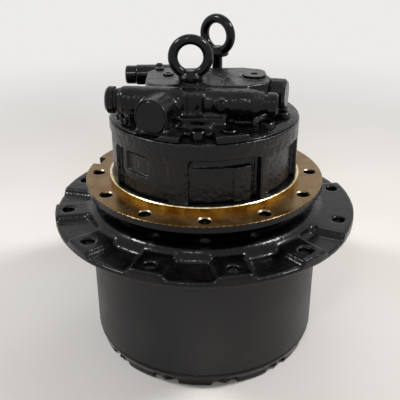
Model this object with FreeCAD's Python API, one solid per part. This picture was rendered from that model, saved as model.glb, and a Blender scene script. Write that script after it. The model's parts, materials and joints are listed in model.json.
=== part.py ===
import FreeCAD, Part
import math
import os

# Excavator final drive: hydraulic travel motor on a two-stage planetary reduction.
# The axis is vertical, motor up.  The origin lies on the axis, on the motor side of the frame
# flange, which is the face that bolts to the track frame.  All lengths are in millimetres.

os.makedirs("parts", exist_ok=True)

# ---------------------------------------------------------------- driving dimensions

# frame flange and pilot lip
frame_flange_radius = 180.0
frame_flange_edge = 9.5
frame_bolt_circle = 162.0
frame_hole_radius = 8.75
frame_hole_count = 12
pilot_radius = 143.8
pilot_height = 9.5
pilot_edge_chamfer = 1.0
flange_cone_radius = 149.0
flange_cone_bottom = -27.0

# motor case above the flange
case_radius = 140.0
case_top = 97.0
cavity_radius = 98.0
cavity_step = 30.0
cavity_low_radius = 74.0
cavity_floor = -14.0
brake_chamber_floor = 58.0

# spindle below the flange
skirt_radius = 145.5
skirt_bottom = -43.0
seal_bore_radius = 136.0
seal_bore_top = -30.0
seal_neck_radius = 117.0
seal_ring_inner = 120.0
seal_ring_width = 13.0
seal_face = -45.0
toric_section = 4.2
bearing_shoulder = -64.0
bearing_bore_radius = 110.0
bearing_width = 34.0
bearing_outer_radius = 138.0
roller_radius = 5.5
roller_length = 22.0
roller_count = 30
roller_circle = 124.0
roller_tilt = 15.0
nut_width = 14.0
nut_radius = 121.0
spindle_end_radius = 106.0
spindle_end = -148.0
spindle_hollow_radius = 62.0

# hub and sprocket flange
hub_lip_radius = 152.0
hub_lip_bore = 148.0
hub_lip_top = -30.5
hub_groove_bottom = -36.0
hub_shoulder_inner = 161.0
hub_shoulder_top = -34.5
hub_shoulder_radius = 180.0
hub_shoulder_round = 15.0
hub_seal_bore = 140.0
hub_seal_step = -46.0
hub_rib_bore = 132.0
hub_rib_half = 2.0
hub_relief_radius = 152.0
sprocket_flange_radius = 230.5
sprocket_flange_top = -53.5
sprocket_flange_bottom = -62.5
sprocket_hole_edge = 20.5
sprocket_bolt_circle = sprocket_flange_radius - sprocket_hole_edge
sprocket_hole_radius = 8.75
sprocket_hole_count = 12
pad_height = 8.5
pad_inner_radius = 179.0
pad_half_width = 22.0
pad_slope = 4.0
gearbox_radius = 177.0
gearbox_bottom = -248.3

# end cover
cover_spigot_radius = 151.0
cover_inner_face = -256.0
cover_floor_step = 6.0
cover_thickness = 13.5
cover_lug_height = 12.4
cover_lug_radius = 171.5
cover_lug_inner = 146.0
cover_lug_half_angle = 8.6
cover_lug_start = -95.0
cover_screw_circle = 162.0
cover_screw_radius = 6.0
cover_screw_head_width = 18.0
cover_screw_head_height = 7.5
cover_screw_start = -80.0
cover_screw_count = 12
cover_plug_angles = [-50.0, 70.0, 190.0]
cover_plug_circle = 96.0
cover_plug_radius = 10.5

# gears
module = 4.0
ring_teeth = 72
sun_2_teeth = 18
planet_2_teeth = 27
sun_1_teeth = 12
planet_1_teeth = 30
pressure_angle = 20.0
flank_gap = 0.13
pitch_ring = module * ring_teeth / 2
planet_count = 3
ring_gear_top = -163.0
ring_gear_bottom = -246.0
stage_2_top = -168.0
stage_2_bottom = -206.0
stage_1_top = -224.0
stage_1_bottom = -245.0
pin_2_radius = 17.0
pin_1_radius = 13.0
needle_2_radius = 23.0
needle_1_radius = 18.0
washer_2_radius = 28.0
washer_1_radius = 23.0
pin_overhang = 4.0
sun_2_spline_radius = 30.0
sun_2_bore = 21.0
sun_1_stem_radius = 16.0
sun_1_foot = 2.0
carrier_2_top = -148.0
carrier_2_bottom = -164.0
carrier_2_radius = 118.0
carrier_1_top = -211.0
carrier_1_bottom = -220.5
carrier_1_radius = 104.0

# rotating group of the motor
shaft_radius = 18.0
shaft_bottom = -84.0
shaft_seal_radius = 22.0
shaft_seal_outer = 32.0
shaft_seal_top = -36.0
shaft_seal_width = 9.0
coupling_half = 23.0
shaft_bearing_bore = 25.0
shaft_bearing_radius = 33.0
shaft_bearing_width = 20.0
rear_bearing_radius = 21.0
rear_bearing_width = 20.0
rear_journal_radius = 15.0
block_radius = 62.0
block_bottom = 30.0
piston_count = 9
piston_radius = 10.0
piston_circle = 42.0
piston_top = 78.0
valve_plate_thickness = 3.0
swash_radius = 66.0
swash_top = 8.0
brake_disc_count = 3
brake_disc_radius = 86.0
brake_plate_radius = 92.0
brake_ring_inner = 68.0
brake_plate_thickness = 3.0
brake_spring_height = 9.0
brake_piston_top = case_top - brake_spring_height

# rear cover (valve block)
cover_flange_radius = 112.0
cover_flange_thickness = 6.0
block_top = 150.0
spool_turn = -6.1
spool_bore_z = 131.0
spool_radius = 11.0
spool_length = 110.0
spool_travel = 6.0
spring_seat_radius = 10.0
spring_coil_radius = 8.2
spring_wire_radius = 1.3

# lifting eye bolts, M16
eye_ring_radius = 31.5
eye_hole_radius = 17.5
eye_collar_radius = 17.5
eye_height = 31.0
eye_shank_radius = 8.0

# clearances
press_gap = 0.02
running_gap = 0.05
loose_gap = 0.3
roller_gap = 0.15

axis_z = FreeCAD.Vector(0, 0, 1)
centre = FreeCAD.Vector(0, 0, 0)


# ---------------------------------------------------------------- shape helpers

def vec(x, y, z=0.0):
    return FreeCAD.Vector(x, y, z)


def polar(radius, angle, z=0.0):
    turn = math.radians(angle)
    return vec(radius * math.cos(turn), radius * math.sin(turn), z)


def section_point(r, z):
    return vec(r, 0, z)


def plan_point(x, y):
    return vec(x, y, 0)


def outline(corners, place):
    """Closed wire through the corners; a third value rounds that corner with a tangent arc."""
    edges = []
    starts = []
    ends = []
    count = len(corners)
    for i in range(count):
        here = place(corners[i][0], corners[i][1])
        if len(corners[i]) == 2:
            starts.append(here)
            ends.append(here)
            continue
        before = place(corners[i - 1][0], corners[i - 1][1]) - here
        after = place(corners[(i + 1) % count][0], corners[(i + 1) % count][1]) - here
        before.normalize()
        after.normalize()
        half = before.getAngle(after) / 2
        inward = before + after
        inward.normalize()
        radius = corners[i][2]
        reach = radius / math.tan(half)
        starts.append(here + before * reach)
        ends.append(here + after * reach)
        middle = here + inward * (radius / math.sin(half) - radius)
        edges.append(Part.Arc(starts[i], middle, ends[i]).toShape())
    for i in range(count):
        last = ends[i]
        first = starts[(i + 1) % count]
        if last.distanceToPoint(first) > 1e-6:
            edges.append(Part.makeLine(last, first))
    return Part.Wire(Part.__sortEdges__(edges))


def turned(corners):
    """Solid of revolution about the drive's axis from (radius, z) corners."""
    face = Part.Face(outline(corners, section_point))
    return face.revolve(centre, axis_z, 360)


def ring(outer, inner, top, bottom):
    return turned([(inner, bottom), (outer, bottom), (outer, top), (inner, top)])


def swept(corners, start, end):
    """A (radius, z) outline turned about the axis between two angles in degrees."""
    face = Part.Face(outline(corners, section_point))
    face.rotate(centre, axis_z, start)
    return face.revolve(centre, axis_z, end - start)


def sector(outer, inner, top, bottom, start, end):
    """Part of a ring between two angles in degrees."""
    return swept([(inner, bottom), (outer, bottom), (outer, top), (inner, top)], start, end)


def plate(corners, bottom, top):
    """Upright prism from an outline in plan."""
    face = Part.Face(outline(corners, plan_point))
    face.translate(vec(0, 0, bottom))
    return face.extrude(vec(0, 0, top - bottom))


def disc(radius, start, length, direction=axis_z):
    return Part.makeCylinder(radius, length, start, direction)


def round_top(solid, z, radius):
    """Round every edge that lies flat at height z."""
    edges = []
    for edge in solid.Edges:
        box = edge.BoundBox
        if abs(box.ZMin - z) < 1e-4 and abs(box.ZMax - z) < 1e-4:
            edges.append(edge)
    return solid.makeFillet(radius, edges)


def copies(shape, count, start=0.0):
    """The same shape set out evenly around the axis."""
    out = []
    for i in range(count):
        one = shape.copy()
        one.rotate(centre, axis_z, start + 360.0 * i / count)
        out.append(one)
    return out


def join(shapes):
    whole = shapes[0].multiFuse(shapes[1:])
    return whole.removeSplitter()


def hexagon(width, height):
    corners = []
    for i in range(6):
        point = polar(width / math.sqrt(3), 60.0 * i)
        corners.append((point.x, point.y))
    return plate(corners, 0, height)


def aim(shape, position, direction):
    """Move a shape built on +Z at the origin to a place, pointing along a direction."""
    out = shape.copy()
    turn = FreeCAD.Rotation(axis_z, direction)
    out.Placement = FreeCAD.Placement(position, turn).multiply(shape.Placement)
    return out


def save(name, shapes):
    if not isinstance(shapes, list):
        shapes = [shapes]
    body = shapes[0] if len(shapes) == 1 else Part.makeCompound(shapes)
    solids = body.Solids
    bad = [one for one in solids if not one.isValid()]
    print(name, len(solids), "solids, volume", round(sum(one.Volume for one in solids)), "bad", len(bad))
    if len(solids) == 1:
        body = solids[0]
    else:
        body = Part.makeCompound(solids)
    body.exportStep("parts/" + name + ".step")


# ---------------------------------------------------------------- gear teeth

def involute(angle):
    return math.tan(angle) - angle


def tooth_half_angle(radius, teeth, gap):
    """Half the angle that a tooth covers at a radius, thinned by the flank gap."""
    pitch = module * teeth / 2
    base = pitch * math.cos(math.radians(pressure_angle))
    at_pitch = math.pi / (2 * teeth) + involute(math.radians(pressure_angle))
    lean = math.acos(min(1.0, base / radius))
    return at_pitch - involute(lean) - gap / pitch


def gear_face(teeth, root, tip, gap, turn):
    """Face of a spur gear with involute flanks in two straight steps."""
    pitch = module * teeth / 2
    base = pitch * math.cos(math.radians(pressure_angle))
    start = max(base, root + 0.3)
    radii = [start, (start + tip) / 2, tip]
    halves = [tooth_half_angle(r, teeth, gap) for r in radii]
    points = []
    for i in range(teeth):
        middle = math.radians(turn) + 2 * math.pi * i / teeth
        foot = halves[0] + 0.12 * module / root
        points.append(polar(root, math.degrees(middle - foot)))
        for r, half in zip(radii, halves):
            points.append(polar(r, math.degrees(middle - half)))
        for r, half in zip(reversed(radii), reversed(halves)):
            points.append(polar(r, math.degrees(middle + half)))
        points.append(polar(root, math.degrees(middle + foot)))
    points.append(points[0])
    return Part.Face(Part.makePolygon(points))


def ring_space():
    """Prism of the space inside the ring gear's teeth; its teeth are the ring's spaces."""
    pitch = module * ring_teeth / 2
    face = gear_face(ring_teeth, pitch - module, pitch + 1.25 * module, -flank_gap, 0.0)
    face.translate(vec(0, 0, ring_gear_bottom - 1))
    return face.extrude(vec(0, 0, ring_gear_top - ring_gear_bottom + 1))


def spur_gear(teeth, top, bottom, bore, turn):
    pitch = module * teeth / 2
    face = gear_face(teeth, pitch - 1.25 * module, pitch + module, flank_gap, turn)
    face.translate(vec(0, 0, bottom))
    solid = face.extrude(vec(0, 0, top - bottom))
    if bore > 0:
        solid = solid.cut(disc(bore, vec(0, 0, bottom - 1), top - bottom + 2))
    return solid


def carrier_radius(sun_teeth, planet_teeth):
    return module * (sun_teeth + planet_teeth) / 2


def planet_turn(place_angle, planet_teeth):
    """Turn that puts a planet's tooth into a space of the ring, whose spaces start at angle 0."""
    return place_angle - place_angle * ring_teeth / planet_teeth


def sun_turn(planet_teeth, sun_teeth):
    """Turn that meshes the sun with the planet standing at angle 0."""
    step = 360.0 / planet_teeth
    offset = (planet_turn(0.0, planet_teeth) - 180.0) % step
    space = -offset * planet_teeth / sun_teeth
    return space + 180.0 / sun_teeth


# ---------------------------------------------------------------- fasteners

def socket_screw(radius, head_radius, head_height, length):
    """Socket head screw: seat at z = 0, head up, shank down."""
    head = disc(head_radius, centre, head_height)
    head = head.makeChamfer(0.8, [e for e in head.Edges if abs(e.BoundBox.ZMin - head_height) < 1e-6])
    socket = hexagon(radius * 1.6, head_height * 0.55)
    socket.translate(vec(0, 0, head_height * 0.5))
    shank = disc(radius, vec(0, 0, -length), length)
    return join([head, shank]).cut(socket)


def hex_screw(radius, width, head_height, length):
    """Hexagon screw: seat at z = 0, head up, shank down."""
    head = hexagon(width, head_height)
    cone = turned([(0, 0), (width * 0.6, 0), (width * 0.6, head_height - 1.2),
                   (width * 0.49, head_height), (0, head_height)])
    shank = disc(radius, vec(0, 0, -length), length)
    return join([head.common(cone), shank])


def round_plug(radius, head_radius, head_height, depth, socket_width):
    """Round plug with a chamfered head and a hexagon socket."""
    rim = min(2.0, head_height * 0.3)
    body = turned([(0, -depth), (radius, -depth), (radius, 0), (head_radius, 0),
                   (head_radius, head_height - rim), (head_radius - rim, head_height), (0, head_height)])
    socket = hexagon(socket_width, head_height)
    socket.translate(vec(0, 0, head_height * 0.4))
    return body.cut(socket)


# ---------------------------------------------------------------- motor housing

case_windows = [
    # start angle, end angle, bottom, top, depth below the case radius
    (-151.0, -123.0, 40.0, 71.0, 6.0),
    (-150.0, -118.0, 13.0, 34.0, 6.0),
    (-52.5, -20.0, 12.0, 67.0, 7.0),
    (-97.0, -65.0, 60.5, 69.5, 6.0),
    (-101.0, -90.0, 12.0, 54.0, 3.0),
    (-84.0, -70.0, 12.0, 54.0, 3.0),
    (-12.0, 22.0, 12.0, 80.0, 7.0),
    (32.0, 66.0, 12.0, 80.0, 7.0),
    (76.0, 104.0, 12.0, 80.0, 7.0),
    (114.0, 148.0, 12.0, 80.0, 7.0),
    (158.0, 198.0, 12.0, 80.0, 7.0),
]

rear_screw_circle = 119.0
rear_screw_radius = 7.0
rear_screw_head = 10.5
rear_screw_length = 34.0
rear_screw_seat = case_top + 4.0
rear_screw_angles = [-94.0, -74.0, -45.0, -21.0, 13.0, 52.0, 90.0, 127.0, 160.0, -165.0]
carrier_screw_circle = carrier_radius(sun_2_teeth, planet_2_teeth)
carrier_screw_radius = 5.0
carrier_screw_count = 6
carrier_screw_start = 30.0


def frame_holes(bottom, top):
    hole = disc(frame_hole_radius, vec(frame_bolt_circle, 0, bottom), top - bottom)
    return copies(hole, frame_hole_count)


def motor_housing():
    nut_seat = bearing_shoulder - 2 * bearing_width
    wall = turned([
        (0, spindle_end), (spindle_end_radius, spindle_end), (spindle_end_radius, nut_seat),
        (bearing_bore_radius, nut_seat), (bearing_bore_radius, bearing_shoulder),
        (seal_neck_radius, bearing_shoulder), (seal_neck_radius, seal_bore_top),
        (seal_bore_radius, seal_bore_top), (seal_bore_radius, skirt_bottom),
        (skirt_radius, skirt_bottom), (skirt_radius, flange_cone_bottom - 2),
        (flange_cone_radius, flange_cone_bottom), (frame_flange_radius - 5, -frame_flange_edge - 3),
        (frame_flange_radius, -frame_flange_edge), (frame_flange_radius, -0.8),
        (frame_flange_radius - 0.8, 0), (pilot_radius, 0),
        (pilot_radius, pilot_height - pilot_edge_chamfer),
        (pilot_radius - pilot_edge_chamfer, pilot_height),
        (case_radius, pilot_height), (case_radius, case_top - 1.5), (case_radius - 1.5, case_top),
        (0, case_top)])
    seal_seat = shaft_seal_top - shaft_seal_width
    cavity = turned([
        (0, spindle_end - 1), (spindle_hollow_radius, spindle_end - 1),
        (spindle_hollow_radius, seal_seat - 12), (shaft_seal_radius + 4, seal_seat - 4),
        (shaft_seal_radius + 4, seal_seat), (shaft_seal_outer, seal_seat),
        (shaft_seal_outer, shaft_seal_top), (shaft_bearing_radius - 4, shaft_seal_top),
        (shaft_bearing_radius - 4, cavity_floor - shaft_bearing_width),
        (shaft_bearing_radius, cavity_floor - shaft_bearing_width),
        (shaft_bearing_radius, cavity_floor), (cavity_low_radius, cavity_floor),
        (cavity_low_radius, cavity_step), (brake_plate_radius + loose_gap, cavity_step),
        (brake_plate_radius + loose_gap, brake_chamber_floor), (cavity_radius, brake_chamber_floor),
        (cavity_radius, case_top + 1), (0, case_top + 1)])
    cuts = [cavity] + frame_holes(-40.0, 1.0)
    for start, end, bottom, top, depth in case_windows:
        cuts.append(sector(case_radius + 5, case_radius - depth, top, bottom, start, end))
    for angle in rear_screw_angles:
        bottom = rear_screw_seat - rear_screw_length - 2
        cuts.append(disc(rear_screw_radius + press_gap, polar(rear_screw_circle, angle, bottom), 60))
    tapped = disc(carrier_screw_radius + press_gap, vec(carrier_screw_circle, 0, spindle_end - 1), 24)
    cuts += copies(tapped, carrier_screw_count, carrier_screw_start)
    cuts.append(sector(frame_flange_radius + 5, 168.0, 5, -40, 160.5, 169.0))
    return wall.cut(cuts)


# ---------------------------------------------------------------- rear cover

along_x = vec(1, 0, 0)
spool_axis = polar(1.0, spool_turn)
spool_centre = vec(-19.0, -63.5, spool_bore_z)
spool_boss_left_radius = 20.0
spool_boss_right_radius = 20.0
spool_boss_half_length = 101.0
spool_column_radius = 17.0
spool_column_place = (-17.0, -64.0)
spool_column_top = 147.0
spool_cap_bore = 14.0
spool_cap_depth = 22.0
spool_cap_wall = 2.0
port_boss_direction = polar(1.0, -117.0)
port_boss_place = vec(-72.0, -103.0, 121.0)
port_boss_radius = 25.8
port_plug_radius = 22.5
port_plug_shank_radius = 18.4
port_plug_depth = 4.0
socket_plug_place = (72.0, -1.0)
socket_plug_seat = block_top + 1.0
socket_plug_radius = 13.0
relief_place = (-5.0, 126.0)
relief_turn = -17.0
relief_boss_radius = 21.5
relief_boss_face = 98.0
relief_bore_radius = 14.0
relief_cap_radius = 21.7
gauge_place = vec(22.0, -90.5, 134.2)
gauge_boss_radius = 9.0
relief_axis = polar(1.0, relief_turn)
relief_seat = vec(relief_boss_face, *relief_place)
speed_valve_place = (62.0, 136.0)
speed_valve_boss_radius = 15.5
speed_valve_top = speed_valve_place[1] + speed_valve_boss_radius
speed_valve_face = -104.0
speed_valve_bore_radius = 9.5
front_eye_place = (-19.0, -24.0)
front_eye_seat = block_top + 2.0
front_eye_turn = 0.0
front_eye_shank = 27.0
rear_eye_place = (21.0, 88.0)
rear_eye_boss_top = 131.0
rear_eye_lift = 29.0
rear_eye_turn = -37.0
rear_eye_shank = 50.0
rear_shelf_top = 128.0
shelf_top = 117.0
side_port_angle = -152.0
side_port_place = vec(-110.0, -66.0, 107.4)
side_port_radius = 13.0
main_ports = [(-36.0, 111.0), (36.0, 111.0)]
main_port_radius = 13.5
main_port_depth = 24.0
main_port_face = 122.0

flange_lobes = [
    # start angle, end angle, foot radius, top radius, top above the joint face
    (-84.0, -64.5, 140.0, 138.5, 10.0),
    (-66.0, -4.0, 139.0, 128.0, 6.0),
    (-130.0, -104.0, 139.0, 137.0, 7.5),
    (-177.0, -132.0, 138.5, 135.0, 5.0),
    (-6.0, 24.0, 127.5, 126.0, 3.0),
    (38.0, 56.0, 138.0, 134.0, 8.0),
    (84.0, 96.0, 138.0, 134.0, 8.0),
    (116.0, 140.0, 138.0, 134.0, 8.0),
    (162.0, 178.0, 138.0, 134.0, 6.0),
]


def small_plug_places():
    """Gauge and drain plugs: seat, direction, shank radius, head radius, head height."""
    side = polar(1.0, side_port_angle)
    across = polar(7.5, side_port_angle + 90)
    return [
        (gauge_place, vec(0, -1, 0), 4.0, 6.5, 4.0),
        (vec(-66, 40, block_top), axis_z, 4.0, 6.5, 2.5),
        (vec(-68, speed_valve_place[0], speed_valve_top), axis_z, 3.0, 5.0, 1.5),
        (side_port_place + across, side, 4.0, 5.0, 3.5),
        (side_port_place - across, side, 4.0, 5.0, 3.5),
        (vec(-52, 10, block_top), axis_z, 5.0, 8.0, 2.0),
    ]


def rear_cover():
    pieces = [disc(cover_flange_radius, vec(0, 0, case_top), cover_flange_thickness)]
    for start, end, foot, crest, height in flange_lobes:
        lobe = [(90.0, case_top), (foot, case_top), (foot, case_top + 1.5),
                (crest, case_top + height, 1.0), (90.0, case_top + height)]
        pieces.append(swept(lobe, start, end))
    body = plate([(-78, -44, 10), (58, -52, 12), (92, -34, 14), (92, 40, 16), (60, 52, 14),
                  (-70, 50, 14), (-84, 30, 10), (-84, -20, 10)], case_top, block_top)
    pieces.append(round_top(body, block_top, 3.0))
    shelf = plate([(-30, -92, 8), (28, -92, 8), (40, -60, 6), (40, 0), (-60, 0), (-60, -70, 8)],
                  case_top, shelf_top)
    pieces.append(round_top(shelf, shelf_top, 2.0))
    back = plate([(-62, 40), (62, 40), (70, 100, 16), (56, main_port_face, 6),
                  (-56, main_port_face, 6), (-70, 100, 16)], case_top, rear_shelf_top)
    pieces.append(round_top(back, rear_shelf_top, 3.0))
    neck = spool_cap_bore + 3
    end = spool_boss_half_length
    boss = turned([(0, 20), (spool_boss_right_radius, 20), (spool_boss_right_radius, end - 17, 3.0),
                   (neck, end - 4, 2.0), (neck, end), (0, end)])
    pieces.append(aim(boss, spool_centre, spool_axis))
    boss = turned([(0, 10), (spool_boss_left_radius, 10), (spool_boss_left_radius, end - 8, 2.0),
                   (neck, end - 4, 1.0), (neck, end), (0, end)])
    pieces.append(aim(boss, spool_centre, spool_axis * -1))
    column = disc(spool_column_radius, vec(*spool_column_place, case_top), spool_column_top - case_top)
    pieces.append(round_top(column, spool_column_top, 4.0))
    pieces.append(plate([(-18, -70), (26, -74, 4), (26, -40), (-18, -40)], case_top, spool_bore_z + 6))
    pieces.append(disc(gauge_boss_radius, gauge_place, 40, vec(0, 1, 0)))
    inward = port_boss_direction * -1
    pieces.append(disc(port_boss_radius, port_boss_place, 75, inward))
    pieces.append(disc(20.0, vec(*front_eye_place, case_top), front_eye_seat - case_top))
    pieces.append(disc(18.0, vec(*rear_eye_place, case_top), rear_eye_boss_top - case_top))
    pieces.append(disc(20.5, vec(*socket_plug_place, case_top), socket_plug_seat - case_top))
    pieces.append(disc(relief_boss_radius, relief_seat, 44, relief_axis * -1))
    pieces.append(disc(speed_valve_boss_radius, vec(speed_valve_face, *speed_valve_place), 60, along_x))
    pieces.append(disc(side_port_radius, side_port_place, 50, polar(-1.0, side_port_angle)))
    whole = join(pieces)
    below_joint = disc(frame_flange_radius, vec(0, 0, case_top - 40), 40)
    cuts = [below_joint]
    cuts.append(disc(rear_bearing_radius, vec(0, 0, case_top - 1), rear_bearing_width + 2))
    for way in (spool_axis, spool_axis * -1):
        cuts.append(disc(spool_radius + running_gap, spool_centre - way, spool_boss_half_length + 2, way))
        cuts.append(disc(spool_cap_bore, spool_centre + way * (spool_boss_half_length - spool_cap_depth),
                         spool_cap_depth + 1, way))
    cuts.append(disc(port_plug_radius + 0.4, port_boss_place, port_plug_depth, inward))
    cuts.append(disc(port_plug_shank_radius + press_gap, port_boss_place, 26, inward))
    cuts.append(disc(eye_shank_radius + press_gap,
                     vec(*front_eye_place, front_eye_seat - front_eye_shank - 3), 40))
    cuts.append(disc(eye_shank_radius + press_gap,
                     vec(*rear_eye_place, rear_eye_boss_top + rear_eye_lift - rear_eye_shank - 3), 40))
    cuts.append(disc(socket_plug_radius, vec(*socket_plug_place, socket_plug_seat - 9), 25))
    cuts.append(disc(relief_bore_radius, relief_seat + relief_axis, 22, relief_axis * -1))
    cuts.append(disc(relief_cap_radius + 1, relief_seat, 12, relief_axis))
    cuts.append(disc(port_boss_radius + 0.5, port_boss_place, 40, port_boss_direction))
    cuts.append(disc(speed_valve_bore_radius, vec(-110, *speed_valve_place), 30, along_x))
    for seat, direction, shank, head, height in small_plug_places():
        cuts.append(disc(shank + press_gap, seat + direction, 13, direction * -1))
    for x, z in main_ports:
        cuts.append(disc(main_port_radius, vec(x, main_port_face + 1, z), main_port_depth + 1,
                         vec(0, -1, 0)))
    for angle in rear_screw_angles:
        cuts.append(disc(rear_screw_radius + 0.5, polar(rear_screw_circle, angle, case_top - 1), 30))
        cuts.append(disc(rear_screw_head + 1, polar(rear_screw_circle, angle, rear_screw_seat), 26))
    return whole.cut(cuts).removeSplitter()


def spool_cap(direction, head_radius, head_height):
    """End cap of the spool bore, hollow inside for its spring."""
    cap = turned([
        (0, 0), (0, -spool_cap_wall), (spring_seat_radius, -spool_cap_wall),
        (spring_seat_radius, -spool_cap_depth + 1),
        (spool_cap_bore - press_gap, -spool_cap_depth + 1), (spool_cap_bore - press_gap, 0),
        (head_radius - 3, 0), (head_radius - 3, 4), (head_radius, 4),
        (head_radius, head_height - 3), (head_radius - 3, head_height), (0, head_height)])
    return aim(cap, spool_centre + direction * spool_boss_half_length, direction)


def coil_spring(radius, wire, turns, pitch):
    """Open coil spring standing on z = 0."""
    path = Part.makeHelix(pitch, pitch * turns, radius)
    start = vec(radius, 0, 0)
    profile = Part.Wire(Part.makeCircle(wire, start, vec(0, 1, 0)))
    coil = Part.Wire(path).makePipeShell([profile], True, True)
    coil.translate(vec(0, 0, wire))
    return coil


def eye_bolt(place, seat, turn, shank):
    """Lifting eye bolt with a forged ring, standing on its collar."""
    bar = (eye_ring_radius - eye_hole_radius) / 2
    loop = Part.makeTorus(eye_ring_radius - bar, bar, vec(0, 0, eye_height), vec(0, 1, 0))
    collar = turned([(0, -shank), (eye_shank_radius - 1.5, -shank), (eye_shank_radius, 1.5 - shank),
                     (eye_shank_radius, 0), (eye_collar_radius - 1, 0), (eye_collar_radius, 1),
                     (eye_collar_radius, 5), (12.0, 11.0), (9.0, 13.4), (0, 13.4)])
    bolt = join([loop, collar])
    bolt.rotate(centre, axis_z, turn)
    bolt.translate(vec(place[0], place[1], seat))
    return bolt


# ---------------------------------------------------------------- rotating group

def cylinder_block():
    top = case_top - valve_plate_thickness - running_gap
    body = turned([
        (shaft_radius + press_gap, block_bottom), (block_radius - 6, block_bottom),
        (block_radius, block_bottom + 3), (block_radius, top - 2), (block_radius - 2, top),
        (shaft_radius + press_gap, top)])
    bore = disc(piston_radius + running_gap, vec(piston_circle, 0, block_bottom - 1),
                top - block_bottom - 8)
    window = disc(piston_radius * 0.5, vec(piston_circle, 0, top - 12), 20)
    return body.cut(copies(bore, piston_count) + copies(window, piston_count))


def pistons():
    neck = 6.0
    one = turned([
        (0, swash_top + 6), (neck, swash_top + 6), (neck, swash_top + 13),
        (piston_radius - 1, swash_top + 15), (piston_radius, swash_top + 17),
        (piston_radius, piston_top - 1), (piston_radius - 1, piston_top), (neck, piston_top),
        (neck, piston_top - 28), (0, piston_top - 28)])
    one.translate(vec(piston_circle, 0, 0))
    return copies(one, piston_count)


def piston_shoes():
    base = swash_top + running_gap
    one = turned([
        (0, base), (13.0, base), (13.0, base + 4), (9.0, base + 4), (9.0, base + 10),
        (6.0 + running_gap, base + 10), (6.0 + running_gap, swash_top + 6 - running_gap),
        (0, swash_top + 6 - running_gap)])
    one.translate(vec(piston_circle, 0, 0))
    return copies(one, piston_count)


def retainer_plate():
    body = ring(58.0, 21.0, swash_top + 7.5, swash_top + 4.2)
    hole = disc(9.3, vec(piston_circle, 0, swash_top), 20)
    return body.cut(copies(hole, piston_count))


def swash_plate():
    bore = shaft_bearing_bore + 2
    body = turned([(bore, cavity_floor), (swash_radius - 8, cavity_floor),
                   (swash_radius, cavity_floor + 8), (swash_radius, swash_top), (bore, swash_top)])
    flat = Part.makeBox(40, 200, 30, vec(swash_radius - 6, -100, cavity_floor - 1))
    other = flat.copy()
    other.rotate(centre, axis_z, 180)
    return body.cut([flat, other])


def drive_shaft():
    top = case_top + rear_bearing_width
    return turned([
        (0, shaft_bottom), (shaft_radius - 2, shaft_bottom), (shaft_radius, shaft_bottom + 2),
        (shaft_radius, shaft_seal_top - shaft_seal_width - 4),
        (shaft_seal_radius, shaft_seal_top - shaft_seal_width - 2),
        (shaft_seal_radius, shaft_seal_top + 1), (shaft_bearing_bore, shaft_seal_top + 1.5),
        (shaft_bearing_bore, cavity_floor + 2), (shaft_radius, cavity_floor + 4),
        (shaft_radius, case_top - 6), (rear_journal_radius, case_top - 5),
        (rear_journal_radius, top - 1), (rear_journal_radius - 1, top), (0, top)])


def brake_stack(first, radius, inner, count):
    """Flat rings stacked with one ring of the other kind between each pair."""
    pitch = 2 * (brake_plate_thickness + running_gap)
    out = []
    for i in range(count):
        low = first + i * pitch
        out.append(ring(radius, inner, low + brake_plate_thickness, low))
    return out


def brake_piston():
    low = cavity_step + (2 * brake_disc_count + 1) * (brake_plate_thickness + running_gap)
    return turned([
        (brake_ring_inner, low), (88.0, low), (88.0, brake_chamber_floor + loose_gap),
        (cavity_radius - running_gap, brake_chamber_floor + loose_gap),
        (cavity_radius - running_gap, brake_piston_top), (brake_ring_inner, brake_piston_top)])


def brake_spring():
    """Conical disc spring, its rim up against the rear cover."""
    thick = 2.5
    low = brake_piston_top
    return turned([(72.0, low), (74.5, low), (94.0, case_top - thick), (94.0, case_top),
                   (91.5, case_top), (72.0, low + thick)])


# ---------------------------------------------------------------- bearings and seals

def race_radius(z, side):
    """Raceway radius at a height of the upper bearing: side -1 inner ring, +1 outer ring."""
    middle = bearing_shoulder - bearing_width / 2
    offset = side * (roller_radius + roller_gap) / math.cos(math.radians(roller_tilt))
    return roller_circle + offset + (z - middle) * math.tan(math.radians(roller_tilt))


def upper_inner_ring():
    low = bearing_shoulder - bearing_width
    return turned([
        (bearing_bore_radius + press_gap, low), (race_radius(low, -1), low),
        (race_radius(bearing_shoulder - 3, -1), bearing_shoulder - 3),
        (race_radius(bearing_shoulder - 3, -1) + 2, bearing_shoulder - 3),
        (race_radius(bearing_shoulder - 3, -1) + 2, bearing_shoulder),
        (bearing_bore_radius + press_gap, bearing_shoulder)])


def upper_outer_ring():
    low = bearing_shoulder - bearing_width + hub_rib_half
    return turned([
        (race_radius(low, 1), low), (bearing_outer_radius - press_gap, low),
        (bearing_outer_radius - press_gap, bearing_shoulder),
        (race_radius(bearing_shoulder, 1), bearing_shoulder)])


def upper_rollers():
    one = disc(roller_radius, vec(0, 0, -roller_length / 2), roller_length)
    one.rotate(centre, vec(0, 1, 0), roller_tilt)
    one.translate(vec(roller_circle, 0, bearing_shoulder - bearing_width / 2 - 1.0))
    one.translate(vec(-math.tan(math.radians(roller_tilt)), 0, 0))
    return copies(one, roller_count)


def both_bearings(shapes):
    """The upper bearing's pieces and their mirror images for the lower bearing."""
    middle = vec(0, 0, bearing_shoulder - bearing_width)
    return shapes + [shape.mirror(middle, axis_z) for shape in shapes]


def ring_nut():
    top = bearing_shoulder - 2 * bearing_width
    nut = ring(nut_radius, spindle_end_radius + press_gap, top, top - nut_width)
    slot = Part.makeBox(10, 8, 20, vec(nut_radius - 5, -4, top - nut_width - 1))
    return nut.cut(copies(slot, 6))


def fixed_seal_ring():
    rim = seal_ring_inner + seal_ring_width
    foot = seal_ring_inner + 7
    return turned([
        (seal_ring_inner, seal_face), (rim, seal_face), (rim, seal_face + 3.5),
        (foot, seal_face + 3.5), (foot, seal_face + 12), (seal_ring_inner, seal_face + 12)])


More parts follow.
